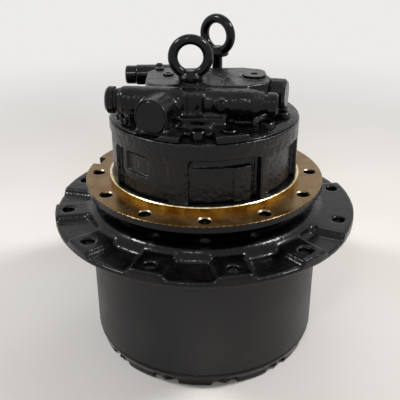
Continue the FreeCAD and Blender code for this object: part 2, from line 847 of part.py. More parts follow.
def turning_seal_ring():
    face = seal_face - running_gap
    rim = seal_ring_inner + seal_ring_width
    return turned([
        (seal_ring_inner, face), (rim, face), (rim, face - 3.5), (rim - 2, face - 5.5),
        (rim - 2, face - 12), (seal_ring_inner, face - 12)])


def toric_ring(outer, z):
    return Part.makeTorus(outer - loose_gap - toric_section, toric_section, vec(0, 0, z), axis_z)


# ---------------------------------------------------------------- hub and end cover

hub_pads = [
    # first and last hole centre of the pad, in degrees
    (-110.0, -110.0), (-80.0, -80.0), (-50.0, -50.0), (-140.0, -140.0), (-170.0, -170.0),
    (-25.0, 10.0), (130.0, 165.0), (40.0, 40.0), (70.0, 70.0), (100.0, 100.0),
]


def pad_block(angle):
    """Raised pad across the sprocket flange, with sloping sides."""
    top = sprocket_flange_top + pad_height
    low = sprocket_flange_top - 1
    corners = [(-pad_half_width - pad_slope, low), (pad_half_width + pad_slope, low),
               (pad_half_width, top, 2.0), (-pad_half_width, top, 2.0)]
    face = Part.Face(outline(corners, lambda across, z: vec(pad_inner_radius - pad_slope, across, z)))
    block = face.extrude(vec(sprocket_flange_radius - pad_inner_radius + 2 * pad_slope, 0, 0))
    block.rotate(centre, axis_z, angle)
    return block


def hub():
    bearing_low = bearing_shoulder - 2 * bearing_width
    rib = bearing_shoulder - bearing_width
    body = turned([
        (hub_lip_bore, hub_lip_top - 1), (hub_lip_bore + 1, hub_lip_top), (hub_lip_radius, hub_lip_top),
        (hub_lip_radius + 1.5, hub_groove_bottom), (hub_shoulder_inner, hub_groove_bottom),
        (hub_shoulder_inner + 1.5, hub_shoulder_top),
        (hub_shoulder_radius, hub_shoulder_top, hub_shoulder_round),
        (hub_shoulder_radius, sprocket_flange_top, 3.5),
        (sprocket_flange_radius, sprocket_flange_top, 1.5),
        (sprocket_flange_radius, sprocket_flange_bottom, 1.0),
        (gearbox_radius, sprocket_flange_bottom, 3.0),
        (gearbox_radius, gearbox_bottom + 1), (gearbox_radius - 1, gearbox_bottom),
        (cover_spigot_radius + press_gap, gearbox_bottom),
        (cover_spigot_radius + press_gap, ring_gear_bottom),
        (pitch_ring - module, ring_gear_bottom), (pitch_ring - module, ring_gear_top),
        (hub_relief_radius, ring_gear_top), (hub_relief_radius, spindle_end - 4),
        (bearing_outer_radius, bearing_low - 8), (bearing_outer_radius, rib - hub_rib_half),
        (hub_rib_bore, rib - hub_rib_half), (hub_rib_bore, rib + hub_rib_half),
        (bearing_outer_radius, rib + hub_rib_half), (bearing_outer_radius, bearing_shoulder + 2),
        (hub_seal_bore, bearing_shoulder + 2), (hub_seal_bore, hub_seal_step),
        (hub_lip_bore, hub_seal_step)])
    top = sprocket_flange_top + pad_height
    limit = ring(sprocket_flange_radius, pad_inner_radius, top + 1, sprocket_flange_top - 2)
    pads = []
    for first, last in hub_pads:
        pads.append(pad_block(first))
        if last > first:
            pads.append(pad_block(last))
            pads.append(sector(sprocket_flange_radius + 5, pad_inner_radius, top,
                               sprocket_flange_top - 1, first, last))
    raised = pads[0].multiFuse(pads[1:]).common(limit)
    whole = body.fuse(raised)
    hole = disc(sprocket_hole_radius, vec(sprocket_bolt_circle, 0, sprocket_flange_bottom - 1), 30)
    sink = Part.makeCone(sprocket_hole_radius, sprocket_hole_radius + 2, 2,
                         vec(sprocket_bolt_circle, 0, top - 1))
    cuts = copies(hole, sprocket_hole_count, cover_screw_start)
    cuts += copies(sink, sprocket_hole_count, cover_screw_start)
    tapped = disc(cover_screw_radius + press_gap, vec(cover_screw_circle, 0, gearbox_bottom - 1), 24)
    cuts += copies(tapped, cover_screw_count, cover_screw_start)
    cuts.append(ring_space())
    return whole.cut(cuts).removeSplitter()


def end_cover():
    flange_low = gearbox_bottom - cover_thickness
    floor_low = flange_low - cover_floor_step
    body = turned([
        (0, cover_inner_face), (132.0, cover_inner_face), (141.0, ring_gear_bottom - loose_gap),
        (cover_spigot_radius, ring_gear_bottom - loose_gap), (cover_spigot_radius, gearbox_bottom),
        (gearbox_radius - 1, gearbox_bottom), (gearbox_radius, gearbox_bottom - 1),
        (gearbox_radius - 0.6, gearbox_bottom - 6), (cover_lug_radius + 1, flange_low, 2.0),
        (cover_lug_inner, flange_low, 2.0), (cover_lug_inner - 6, floor_low, 2.0), (0, floor_low)])
    low = flange_low - cover_lug_height
    corners = [(cover_lug_inner, flange_low + 2), (cover_lug_radius + 1.4, flange_low + 2),
               (cover_lug_radius - 0.5, low, 3.5), (cover_lug_inner + 3, low, 3.0)]
    lug = swept(corners, -cover_lug_half_angle, cover_lug_half_angle)
    whole = body.multiFuse(copies(lug, cover_screw_count, cover_lug_start))
    hole = disc(cover_screw_radius + 0.5, vec(cover_screw_circle, 0, flange_low - 1), 30)
    cuts = copies(hole, cover_screw_count, cover_screw_start)
    for angle in cover_plug_angles:
        cuts.append(disc(cover_plug_radius + press_gap, polar(cover_plug_circle, angle, -300), 60))
    return whole.cut(cuts).removeSplitter()


# ---------------------------------------------------------------- planetary stages

def planets(sun_teeth, planet_teeth, top, bottom, bore):
    """The three planets of a stage, each turned so that it meshes with the ring."""
    out = []
    for i in range(planet_count):
        angle = 360.0 * i / planet_count
        gear = spur_gear(planet_teeth, top, bottom, bore + running_gap, planet_turn(angle, planet_teeth))
        gear.translate(polar(carrier_radius(sun_teeth, planet_teeth), angle))
        out.append(gear)
    return out


def at_planets(shape, sun_teeth, planet_teeth):
    moved = shape.copy()
    moved.translate(vec(carrier_radius(sun_teeth, planet_teeth), 0, 0))
    return copies(moved, planet_count)


def washers(outer, pin, carrier_face, gear_top, gear_bottom, sun_teeth, planet_teeth):
    """Thrust washers on both faces of a stage's planets, pressed on the pins."""
    upper = ring(outer, pin + press_gap, carrier_face, gear_top + running_gap)
    lower = ring(outer, pin + press_gap, gear_bottom - running_gap, gear_bottom - 3)
    return at_planets(upper, sun_teeth, planet_teeth) + at_planets(lower, sun_teeth, planet_teeth)


def carrier_2():
    body = ring(carrier_2_radius, 46.0, carrier_2_top, carrier_2_bottom)
    pin = disc(pin_2_radius + press_gap, vec(0, 0, carrier_2_bottom - 1), 30)
    cuts = at_planets(pin, sun_2_teeth, planet_2_teeth)
    hole = disc(carrier_screw_radius + 0.4, vec(carrier_screw_circle, 0, carrier_2_bottom - 1), 30)
    sink = disc(8.6, vec(carrier_screw_circle, 0, carrier_2_bottom - 1), 11.5)
    cuts += copies(hole, carrier_screw_count, carrier_screw_start)
    cuts += copies(sink, carrier_screw_count, carrier_screw_start)
    return body.cut(cuts)


def carrier_1():
    body = ring(carrier_1_radius, sun_2_spline_radius + press_gap, carrier_1_top, carrier_1_bottom)
    pin = disc(pin_1_radius + press_gap, vec(0, 0, carrier_1_bottom - 1), 30)
    cuts = at_planets(pin, sun_1_teeth, planet_1_teeth)
    gap = disc(32.0, vec(104.0, 0, carrier_1_bottom - 1), 30)
    cuts += copies(gap, planet_count, 60.0)
    return body.cut(cuts)


def sun_gear_2():
    teeth = spur_gear(sun_2_teeth, stage_2_top, stage_2_bottom, 0, sun_turn(planet_2_teeth, sun_2_teeth))
    spline = disc(sun_2_spline_radius, vec(0, 0, carrier_1_bottom), stage_2_bottom - carrier_1_bottom)
    bore = disc(sun_2_bore, vec(0, 0, carrier_1_bottom - 1), 80)
    return join([teeth, spline]).cut(bore)


def sun_gear_1():
    teeth = spur_gear(sun_1_teeth, stage_1_top, stage_1_bottom, 0, sun_turn(planet_1_teeth, sun_1_teeth))
    low = stage_1_bottom - sun_1_foot
    neck = shaft_bottom - coupling_half - 3
    stem = turned([
        (0, low), (sun_1_stem_radius, low), (sun_1_stem_radius, neck - 2), (shaft_radius, neck),
        (shaft_radius, shaft_bottom - 1), (0, shaft_bottom - 1)])
    return join([teeth, stem])


# ---------------------------------------------------------------- write the pieces

save("motor_housing", motor_housing())
save("rear_cover", rear_cover())

screw = socket_screw(rear_screw_radius, rear_screw_head, 9.0, rear_screw_length)
save("rear_cover_screws", [aim(screw, polar(rear_screw_circle, angle, rear_screw_seat), axis_z)
                           for angle in rear_screw_angles])

save("spool_cap_left", spool_cap(spool_axis * -1, 18.7, 15.0))
save("spool_cap_right", spool_cap(spool_axis, 16.0, 18.0))
spool = turned([
    (0, -spool_length / 2), (spool_radius - 2, -spool_length / 2), (spool_radius, 2 - spool_length / 2),
    (spool_radius, -30), (7, -27), (7, -15), (spool_radius, -12), (spool_radius, 12), (7, 15), (7, 27),
    (spool_radius, 30), (spool_radius, spool_length / 2 - 2), (spool_radius - 2, spool_length / 2),
    (0, spool_length / 2)])
save("counterbalance_spool", aim(spool, spool_centre, spool_axis))
spring_foot = spool_cap_wall + loose_gap
spring_length = spool_boss_half_length - spool_length / 2 - spool_travel - spring_foot - 1.0
spring_turns = 6
spring = coil_spring(spring_coil_radius, spring_wire_radius, spring_turns,
                     (spring_length - 2 * spring_wire_radius) / spring_turns)
seat = spool_boss_half_length - spring_foot
save("spool_springs", [aim(spring, spool_centre - spool_axis * seat, spool_axis),
                       aim(spring, spool_centre + spool_axis * seat, spool_axis * -1)])

disc_plug = turned([(0, -22), (port_plug_shank_radius, -22), (port_plug_shank_radius, -port_plug_depth),
                    (port_plug_radius, -port_plug_depth), (port_plug_radius, -1.6),
                    (port_plug_radius - 1, -0.6), (0, -0.6)])
save("front_port_plug", aim(disc_plug, port_boss_place, port_boss_direction))
relief_shank = relief_bore_radius - press_gap
relief = turned([(0, -20), (relief_shank, -20), (relief_shank, 0), (relief_cap_radius, 0),
                 (relief_cap_radius, 18), (relief_cap_radius - 3.7, 22), (0, 22)])
save("relief_valve_cap", aim(relief, relief_seat, relief_axis))
save("speed_valve_cap", aim(round_plug(speed_valve_bore_radius - press_gap, 13.8, 15.5, 22.0, 12.0),
                            vec(speed_valve_face, *speed_valve_place), along_x * -1))
save("top_socket_plug", aim(round_plug(socket_plug_radius - press_gap, 17.4, 2.6, 8.0, 10.0),
                            vec(*socket_plug_place, socket_plug_seat), axis_z))
save("gauge_plugs", [aim(round_plug(shank, head, height, 10.0, head), seat, direction)
                     for seat, direction, shank, head, height in small_plug_places()])
save("eye_bolt_front", eye_bolt(front_eye_place, front_eye_seat, front_eye_turn, front_eye_shank))
save("eye_bolt_rear", eye_bolt(rear_eye_place, rear_eye_boss_top + rear_eye_lift, rear_eye_turn,
                               rear_eye_shank))

save("valve_plate", ring(block_radius - 6, rear_bearing_radius, case_top, case_top - valve_plate_thickness))
save("cylinder_block", cylinder_block())
save("pistons", pistons())
save("piston_shoes", piston_shoes())
save("retainer_plate", retainer_plate())
save("swash_plate", swash_plate())
save("drive_shaft", drive_shaft())
save("shaft_needle_bearings", [
    ring(shaft_bearing_radius - press_gap, shaft_bearing_bore + running_gap, cavity_floor,
         cavity_floor - shaft_bearing_width),
    ring(rear_bearing_radius - press_gap, rear_journal_radius + running_gap,
         case_top + rear_bearing_width, case_top)])
save("shaft_seal", ring(shaft_seal_outer - press_gap, shaft_seal_radius + running_gap,
                        shaft_seal_top, shaft_seal_top - shaft_seal_width))
save("brake_plates", brake_stack(cavity_step, brake_plate_radius, brake_ring_inner, brake_disc_count + 1))
save("brake_discs", brake_stack(cavity_step + brake_plate_thickness + running_gap, brake_disc_radius,
                                block_radius + running_gap, brake_disc_count))
save("brake_piston", brake_piston())
save("brake_spring", brake_spring())
save("coupling_sleeve", ring(28.0, shaft_radius + press_gap, shaft_bottom + coupling_half,
                             shaft_bottom - coupling_half))

save("main_bearing_inner_rings", both_bearings([upper_inner_ring()]))
save("main_bearing_outer_rings", both_bearings([upper_outer_ring()]))
save("main_bearing_rollers", both_bearings(upper_rollers()))
save("bearing_nut", ring_nut())
save("fixed_seal_ring", fixed_seal_ring())
save("turning_seal_ring", turning_seal_ring())
save("fixed_toric_ring", toric_ring(seal_bore_radius, seal_face + 10.2))
save("turning_toric_ring", toric_ring(hub_seal_bore, seal_face - 9))

save("hub", hub())
save("end_cover", end_cover())
flange_low = gearbox_bottom - cover_thickness
screw = hex_screw(cover_screw_radius, cover_screw_head_width, cover_screw_head_height, 32.0)
seat = aim(screw, vec(cover_screw_circle, 0, flange_low), axis_z * -1)
save("end_cover_screws", copies(seat, cover_screw_count, cover_screw_start))
plug = round_plug(cover_plug_radius, 15.0, 4.5, 12.0, 10.0)
save("oil_plugs", [aim(plug, polar(cover_plug_circle, angle, flange_low - cover_floor_step), axis_z * -1)
                   for angle in cover_plug_angles])
button_height = stage_1_bottom - sun_1_foot - loose_gap - cover_inner_face
save("thrust_button", disc(14.0, vec(0, 0, cover_inner_face), button_height))

for i, gear in enumerate(planets(sun_2_teeth, planet_2_teeth, stage_2_top, stage_2_bottom,
                                 needle_2_radius)):
    save("stage_2_planet_" + str(i + 1), gear)
for i, gear in enumerate(planets(sun_1_teeth, planet_1_teeth, stage_1_top, stage_1_bottom,
                                 needle_1_radius)):
    save("stage_1_planet_" + str(i + 1), gear)
save("sun_gear_2", sun_gear_2())
save("sun_gear_1", sun_gear_1())
save("carrier_2", carrier_2())
save("carrier_1", carrier_1())
screw = socket_screw(carrier_screw_radius, 8.0, 10.0, 24.0)
seat = aim(screw, vec(carrier_screw_circle, 0, carrier_2_bottom + 10.5), axis_z * -1)
save("carrier_2_screws", copies(seat, carrier_screw_count, carrier_screw_start))
pin_low = stage_2_bottom - pin_overhang
pin_2 = disc(pin_2_radius, vec(0, 0, pin_low), carrier_2_top - 2 - pin_low)
save("carrier_2_pins", at_planets(pin_2, sun_2_teeth, planet_2_teeth))
pin_low = stage_1_bottom - pin_overhang
pin_1 = disc(pin_1_radius, vec(0, 0, pin_low), carrier_1_top - 1 - pin_low)
save("carrier_1_pins", at_planets(pin_1, sun_1_teeth, planet_1_teeth))
needle_2 = ring(needle_2_radius, pin_2_radius + press_gap, stage_2_top - 1, stage_2_bottom + 1)
save("stage_2_needle_cages", at_planets(needle_2, sun_2_teeth, planet_2_teeth))
needle_1 = ring(needle_1_radius, pin_1_radius + press_gap, stage_1_top - 1, stage_1_bottom + 1)
save("stage_1_needle_cages", at_planets(needle_1, sun_1_teeth, planet_1_teeth))
save("stage_2_thrust_washers", washers(washer_2_radius, pin_2_radius, carrier_2_bottom, stage_2_top,
                                       stage_2_bottom, sun_2_teeth, planet_2_teeth))
save("stage_1_thrust_washers", washers(washer_1_radius, pin_1_radius, carrier_1_bottom, stage_1_top,
                                       stage_1_bottom, sun_1_teeth, planet_1_teeth))
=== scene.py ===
import json
import math

import bmesh
import bpy
from mathutils import Matrix, Vector, noise


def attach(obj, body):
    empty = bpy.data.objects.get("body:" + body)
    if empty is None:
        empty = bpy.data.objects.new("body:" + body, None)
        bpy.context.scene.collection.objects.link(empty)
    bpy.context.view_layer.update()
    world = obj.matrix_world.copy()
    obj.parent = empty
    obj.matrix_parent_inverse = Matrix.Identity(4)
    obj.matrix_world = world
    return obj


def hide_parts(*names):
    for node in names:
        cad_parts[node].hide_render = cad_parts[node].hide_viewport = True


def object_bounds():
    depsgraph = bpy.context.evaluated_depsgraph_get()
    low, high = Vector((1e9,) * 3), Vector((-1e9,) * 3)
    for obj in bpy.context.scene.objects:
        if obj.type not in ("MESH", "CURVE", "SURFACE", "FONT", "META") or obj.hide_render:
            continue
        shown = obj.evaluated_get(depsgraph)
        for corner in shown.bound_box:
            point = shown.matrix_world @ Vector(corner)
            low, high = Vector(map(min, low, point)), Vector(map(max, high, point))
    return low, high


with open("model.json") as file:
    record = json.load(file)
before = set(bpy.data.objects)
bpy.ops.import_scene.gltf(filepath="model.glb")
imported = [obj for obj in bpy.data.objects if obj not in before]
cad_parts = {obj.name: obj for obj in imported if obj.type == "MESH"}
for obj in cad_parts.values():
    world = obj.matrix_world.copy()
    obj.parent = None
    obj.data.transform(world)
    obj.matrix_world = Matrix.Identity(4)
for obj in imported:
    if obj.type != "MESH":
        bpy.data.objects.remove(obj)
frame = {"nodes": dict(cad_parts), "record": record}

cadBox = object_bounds()
print("frame loaded:", len(frame["nodes"]), "nodes")


def toLinear(hexText):
    channels = [int(hexText[i:i + 2], 16) / 255 for i in (1, 3, 5)]
    return tuple(c / 12.92 if c <= 0.04045 else ((c + 0.055) / 1.055) ** 2.4 for c in channels) + (1.0,)


def perMetre(millimetres):
    return 1000.0 / millimetres     # a pattern scale from its real size


def addNode(tree, kind, settings=None, links=None):
    node = tree.nodes.new(kind)
    for key, value in (settings or {}).items():
        if isinstance(key, int) or key in node.inputs:
            node.inputs[key].default_value = value
        else:
            setattr(node, key, value)
    for key, source in (links or {}).items():
        tree.links.new(source, node.inputs[key])
    return node


def newMaterial(name):
    material = bpy.data.materials.new(name)
    material.use_nodes = True
    material.node_tree.nodes.clear()
    tree = material.node_tree
    place = addNode(tree, "ShaderNodeTexCoord")
    return material, tree, place.outputs["Object"]


def finishMaterial(tree, shader):
    addNode(tree, "ShaderNodeOutputMaterial", None, {"Surface": shader.outputs[0]})


def ramp(tree, source, stops):
    node = addNode(tree, "ShaderNodeValToRGB", None, {"Fac": source})
    while len(node.color_ramp.elements) < len(stops):
        node.color_ramp.elements.new(0.5)
    for element, (place, colour) in zip(node.color_ramp.elements, stops):
        element.position = place
        element.color = colour
    return node.outputs["Color"]


castEnamel = {
    "colour": "#060506",        # black two-pack enamel
    "thin": "#121011",          # where it has run thin or holds dust
    "sandGrainMm": 2.6,         # skin of a sand casting under the paint, drawn coarse enough to show
    "orangePeelMm": 7.0,        # ripple of a thick wet coat
    "patchMm": 34.0,
}
forgedEnamel = dict(castEnamel, sandGrainMm=1.4, orangePeelMm=5.0, patchMm=20.0)
# strength and height in metres of each layer of relief in the enamel, and how much duller its patches are
enamelRelief = {"sand": (0.5, 0.0005), "skin": (0.8, 0.0012), "coat": (0.7, 0.0008)}
enamelDulling = 0.2
enamelIor = 1.5


def makeEnamel(name, look, shine, depth, level=0.14):
    # enamel sprayed thickly over a rough surface: deep black whose sharp glints break up on the grain
    material, tree, place = newMaterial(name)
    grain = addNode(tree, "ShaderNodeTexNoise",
                    {"Scale": perMetre(look["sandGrainMm"]), "Detail": 3.0, "Roughness": 0.6}, {"Vector": place})
    peel = addNode(tree, "ShaderNodeTexNoise",
                   {"Scale": perMetre(look["orangePeelMm"]), "Detail": 2.0}, {"Vector": place})
    patch = addNode(tree, "ShaderNodeTexNoise",
                    {"Scale": perMetre(look["patchMm"]), "Detail": 4.0, "Roughness": 0.65}, {"Vector": place})
    colour = ramp(tree, patch.outputs["Fac"], [(0.42, toLinear(look["colour"])), (0.78, toLinear(look["thin"]))])
    rough = addNode(tree, "ShaderNodeMapRange",
                    {"From Min": 0.35, "From Max": 0.7, "To Min": shine, "To Max": shine + enamelDulling},
                    {"Value": patch.outputs["Fac"]})
    relief = {layer: {"Strength": strength, "Distance": height * depth}
              for layer, (strength, height) in enamelRelief.items()}
    sand = addNode(tree, "ShaderNodeBump", relief["sand"], {"Height": grain.outputs["Fac"]})
    skin = addNode(tree, "ShaderNodeBump", relief["skin"],
                   {"Height": peel.outputs["Fac"], "Normal": sand.outputs["Normal"]})
    coat = addNode(tree, "ShaderNodeBump", relief["coat"], {"Height": peel.outputs["Fac"]})
    shader = addNode(tree, "ShaderNodeBsdfPrincipled",
                     {"IOR": enamelIor, "Specular IOR Level": level, "Coat Weight": 0.18, "Coat Roughness": 0.05},
                     {"Base Color": colour, "Roughness": rough.outputs["Result"],
                      "Normal": skin.outputs["Normal"], "Coat Normal": coat.outputs["Normal"]})
    finishMaterial(tree, shader)
    return material


barrelEnamel = {"colour": "#121214", "worn": "#1a191b", "turningMm": 0.9, "peelMm": 5.0, "patchMm": 70.0}


def makeBarrelEnamel():
    # one even coat over a turned cylinder: satin, with a soft ripple and faint lathe lines
    material, tree, place = newMaterial("satinEnamelOverTurnedSteel")
    apart = addNode(tree, "ShaderNodeSeparateXYZ", None, {"Vector": place})
    lines = addNode(tree, "ShaderNodeTexNoise",
                    {"noise_dimensions": "1D", "Scale": perMetre(barrelEnamel["turningMm"]), "Detail": 2.0},
                    {"W": apart.outputs["Z"]})
    peel = addNode(tree, "ShaderNodeTexNoise",
                   {"Scale": perMetre(barrelEnamel["peelMm"]), "Detail": 2.0}, {"Vector": place})
    patch = addNode(tree, "ShaderNodeTexNoise",
                    {"Scale": perMetre(barrelEnamel["patchMm"]), "Detail": 3.0}, {"Vector": place})
    colour = ramp(tree, patch.outputs["Fac"],
                  [(0.35, toLinear(barrelEnamel["colour"])), (0.75, toLinear(barrelEnamel["worn"]))])
    rough = addNode(tree, "ShaderNodeMapRange",
                    {"From Min": 0.3, "From Max": 0.7, "To Min": 0.38, "To Max": 0.5},
                    {"Value": patch.outputs["Fac"]})
    cut = addNode(tree, "ShaderNodeBump", {"Strength": 0.12, "Distance": 0.0001},
                  {"Height": lines.outputs["Fac"]})
    skin = addNode(tree, "ShaderNodeBump", {"Strength": 0.25, "Distance": 0.0003},
                   {"Height": peel.outputs["Fac"], "Normal": cut.outputs["Normal"]})
    shader = addNode(tree, "ShaderNodeBsdfPrincipled", {"IOR": enamelIor, "Specular IOR Level": 0.3},
                     {"Base Color": colour, "Roughness": rough.outputs["Result"],
                      "Normal": skin.outputs["Normal"]})
    finishMaterial(tree, shader)
    return material


def makeTurnedMetal(name, look):
    # metal turned about the drive's axis, with fine lathe lines, under a patchy film of preserving oil
    material, tree, place = newMaterial(name)
    flat = addNode(tree, "ShaderNodeVectorMath", {"operation": "MULTIPLY", 1: (1.0, 1.0, 0.0)}, {0: place})
    radius = addNode(tree, "ShaderNodeVectorMath", {"operation": "LENGTH"}, {0: flat.outputs["Vector"]})
    apart = addNode(tree, "ShaderNodeSeparateXYZ", None, {"Vector": place})
    along = addNode(tree, "ShaderNodeMath", {"operation": "ADD"},
                    {0: radius.outputs["Value"], 1: apart.outputs["Z"]})
    lines = addNode(tree, "ShaderNodeTexNoise",
                    {"noise_dimensions": "1D", "Scale": perMetre(look["turningMm"]), "Detail": 3.0},
                    {"W": along.outputs["Value"]})
    film = addNode(tree, "ShaderNodeTexNoise",
                   {"Scale": perMetre(look["filmMm"]), "Detail": 4.0, "Distortion": 0.6}, {"Vector": place})
    colour = ramp(tree, film.outputs["Fac"],
                  [(0.34, toLinear(look["deep"])), (0.66, toLinear(look["colour"]))])
    rough = addNode(tree, "ShaderNodeMapRange",
                    {"From Min": 0.3, "From Max": 0.7, "To Min": look["rough"], "To Max": look["rough"] + 0.14},
                    {"Value": film.outputs["Fac"]})
    cut = addNode(tree, "ShaderNodeBump", {"Strength": look["cut"], "Distance": 0.0001},
                  {"Height": lines.outputs["Fac"]})
    shader = addNode(tree, "ShaderNodeBsdfPrincipled", {"Metallic": look.get("metallic", 1.0)},
                     {"Base Color": colour, "Roughness": rough.outputs["Result"],
                      "Normal": cut.outputs["Normal"]})
    finishMaterial(tree, shader)
    return material


flangeFaceIron = {"colour": "#836c46", "deep": "#704d1c", "turningMm": 0.7, "filmMm": 30.0, "rough": 0.2, "cut": 0.25,
                  "metallic": 0.85}
pilotLipIron = {"colour": "#c9a038", "deep": "#8d5f12", "turningMm": 0.6, "filmMm": 18.0, "rough": 0.16, "cut": 0.2,
                "metallic": 0.8}
# bare cut metal of the bolt-hole chamfers, kept lighter than the flange face as a painted highlight on their rims
chamferSteelPaintedHighlight = {"colour": "#9a8a70", "deep": "#6c5c45", "turningMm": 0.5, "filmMm": 6.0, "rough": 0.24, "cut": 0.2}
# near-white metal for the lip's top edge and its chamfer: a painted highlight, the bright line of light along that
# edge
lipEdgeIronPaintedHighlight = {"colour": "#efe3c4", "deep": "#c9b27c", "turningMm": 0.5, "filmMm": 9.0, "rough": 0.2, "cut": 0.1}
groundSteel = {"colour": "#a9a9ac", "deep": "#8a8a8f", "turningMm": 0.4, "filmMm": 14.0, "rough": 0.2, "cut": 0.15}
gearSteel = {"colour": "#8f8f94", "deep": "#6c6c72", "turningMm": 0.8, "filmMm": 9.0, "rough": 0.26, "cut": 0.2}
nodularIron = {"colour": "#6c6b6a", "deep": "#4b4a49", "turningMm": 1.0, "filmMm": 7.0, "rough": 0.4, "cut": 0.35}
bearingBronze = {"colour": "#b98a4c", "deep": "#8c5f2c", "turningMm": 0.5, "filmMm": 10.0, "rough": 0.28, "cut": 0.2}

nitrileRubber = {"colour": "#17171a", "bloom": "#232326", "bloomMm": 3.0}
sinteredLining = {"colour": "#5b4634", "fleck": "#8d7350", "grainMm": 1.0}


def makeNitrile():
    # moulded nitrile: matt black with a fine moulded grain
    material, tree, place = newMaterial("mouldedNitrile")
    bloom = addNode(tree, "ShaderNodeTexNoise",
                    {"Scale": perMetre(nitrileRubber["bloomMm"]), "Detail": 4.0}, {"Vector": place})
    rough = addNode(tree, "ShaderNodeMapRange", {"To Min": 0.5, "To Max": 0.75}, {"Value": bloom.outputs["Fac"]})
    skin = addNode(tree, "ShaderNodeBump", {"Strength": 0.3, "Distance": 0.0001}, {"Height": bloom.outputs["Fac"]})
    colour = ramp(tree, bloom.outputs["Fac"],
                  [(0.3, toLinear(nitrileRubber["colour"])), (0.8, toLinear(nitrileRubber["bloom"]))])
    shader = addNode(tree, "ShaderNodeBsdfPrincipled", {"IOR": 1.52},
                     {"Base Color": colour, "Roughness": rough.outputs["Result"],
                      "Normal": skin.outputs["Normal"]})
    finishMaterial(tree, shader)
    return material


def makeLining():
    # sintered bronze and graphite pressed on the brake discs: dull, speckled
    material, tree, place = newMaterial("sinteredFrictionLining")
    fleck = addNode(tree, "ShaderNodeTexVoronoi", {"Scale": perMetre(sinteredLining["grainMm"])}, {"Vector": place})
    colour = ramp(tree, fleck.outputs["Distance"],
                  [(0.15, toLinear(sinteredLining["fleck"])), (0.5, toLinear(sinteredLining["colour"]))])
    skin = addNode(tree, "ShaderNodeBump", {"Strength": 0.4, "Distance": 0.00015},
                   {"Height": fleck.outputs["Distance"]})
    shader = addNode(tree, "ShaderNodeBsdfPrincipled", {"Metallic": 0.4, "Roughness": 0.62},
                     {"Base Color": colour, "Normal": skin.outputs["Normal"]})
    finishMaterial(tree, shader)
    return material


castingPaint = makeEnamel("glossEnamelOverCasting", castEnamel, 0.16, 1.0)
casePaint = makeEnamel("glossEnamelOverRoughCasting", castEnamel, 0.18, 1.7, 0.2)
flangePaint = makeEnamel("glossEnamelOverSmoothCasting", castEnamel, 0.17, 0.5, 0.13)
fastenerPaint = makeEnamel("glossEnamelOverForging", forgedEnamel, 0.13, 0.3)
barrelPaint = makeBarrelEnamel()
flangeFace = makeTurnedMetal("oiledFlangeFaceIron", flangeFaceIron)
lipMetal = makeTurnedMetal("oiledPilotLipIron", pilotLipIron)
chamferMetalPaintedHighlight = makeTurnedMetal("oiledHoleChamferWithPaintedHighlight", chamferSteelPaintedHighlight)
lipEdgePaintedHighlightMetal = makeTurnedMetal("paintedHighlightOnLipEdge", lipEdgeIronPaintedHighlight)
finishes = {
    "black_enamel": castingPaint,
    "blackened_steel": fastenerPaint,
    "bright_steel": makeTurnedMetal("groundOiledSteel", groundSteel),
    "gear_steel": makeTurnedMetal("caseHardenedGearSteel", gearSteel),
    "cast_carrier": makeTurnedMetal("machinedNodularIron", nodularIron),
    "bronze": makeTurnedMetal("bearingBronze", bearingBronze),
    "nitrile_rubber": makeNitrile(),
    "friction_lining": makeLining(),
}
for entry in frame["record"]["subparts"]:
    node = frame["nodes"][entry["node"]]
    if not node.material_slots:
        node.data.materials.append(None)
    for holder in node.material_slots:
        holder.material = finishes[entry["material_slot"]]
print("finishes:", len(finishes))


def nodeCopy(nodeName, pieceName):
    source = frame["nodes"][nodeName]
    piece = bpy.data.objects.new(pieceName, source.data.copy())
    bpy.context.scene.collection.objects.link(piece)
    cage = bmesh.new()
    cage.from_mesh(piece.data)
    bmesh.ops.remove_doubles(cage, verts=cage.verts, dist=1e-6)
    cage.to_mesh(piece.data)
    cage.free()
    return piece


def trimAt(piece, height, keep):
    # keeps what is above or below a height and closes the cut
    cage = bmesh.new()
    cage.from_mesh(piece.data)
    geometry = cage.verts[:] + cage.edges[:] + cage.faces[:]
    bmesh.ops.bisect_plane(cage, geom=geometry, plane_co=(0, 0, height), plane_no=(0, 0, 1),
                           clear_inner=keep == "above", clear_outer=keep == "below", dist=1e-7)
    rim = [edge for edge in cage.edges if edge.is_boundary]
    bmesh.ops.triangle_fill(cage, edges=rim, use_beauty=True)
    bmesh.ops.recalc_face_normals(cage, faces=cage.faces)
    cage.to_mesh(piece.data)
    cage.free()
    return piece


degreesPerStep = 3      # how finely a cut round the axis is divided


def ringBlock(cage, inner, outer, low, high, start, end):
    # closed block between two radii, two heights and two angles in degrees
    steps = max(2, round(abs(end - start) / degreesPerStep))
    rings = []
    for step in range(steps + 1):
        angle = math.radians(start + (end - start) * step / steps)
        side = (math.cos(angle), math.sin(angle))
        rings.append([cage.verts.new((side[0] * radius, side[1] * radius, height))
                      for radius, height in ((inner, low), (outer, low), (outer, high), (inner, high))])
    for first, second in zip(rings, rings[1:]):
        for corner in range(4):
            after = (corner + 1) % 4
            cage.faces.new((first[corner], first[after], second[after], second[corner]))
    cage.faces.new(rings[0][::-1])
    cage.faces.new(rings[-1])


def cutAway(piece, cage):
    # takes the closed solids of the cage out of the piece
    bmesh.ops.recalc_face_normals(cage, faces=cage.faces)
    mesh = bpy.data.meshes.new("cutter")
    cage.to_mesh(mesh)
    cage.free()
    cutter = bpy.data.objects.new("cutter", mesh)
    bpy.context.scene.collection.objects.link(cutter)
    cut = piece.modifiers.new("cut", "BOOLEAN")
    cut.operation = "DIFFERENCE"
    cut.solver = "EXACT"
    cut.object = cutter
    bpy.context.view_layer.update()
    shaped = bpy.data.meshes.new_from_object(piece.evaluated_get(bpy.context.evaluated_depsgraph_get()))
    piece.modifiers.clear()
    piece.data = shaped
    bpy.data.objects.remove(cutter)
    return piece


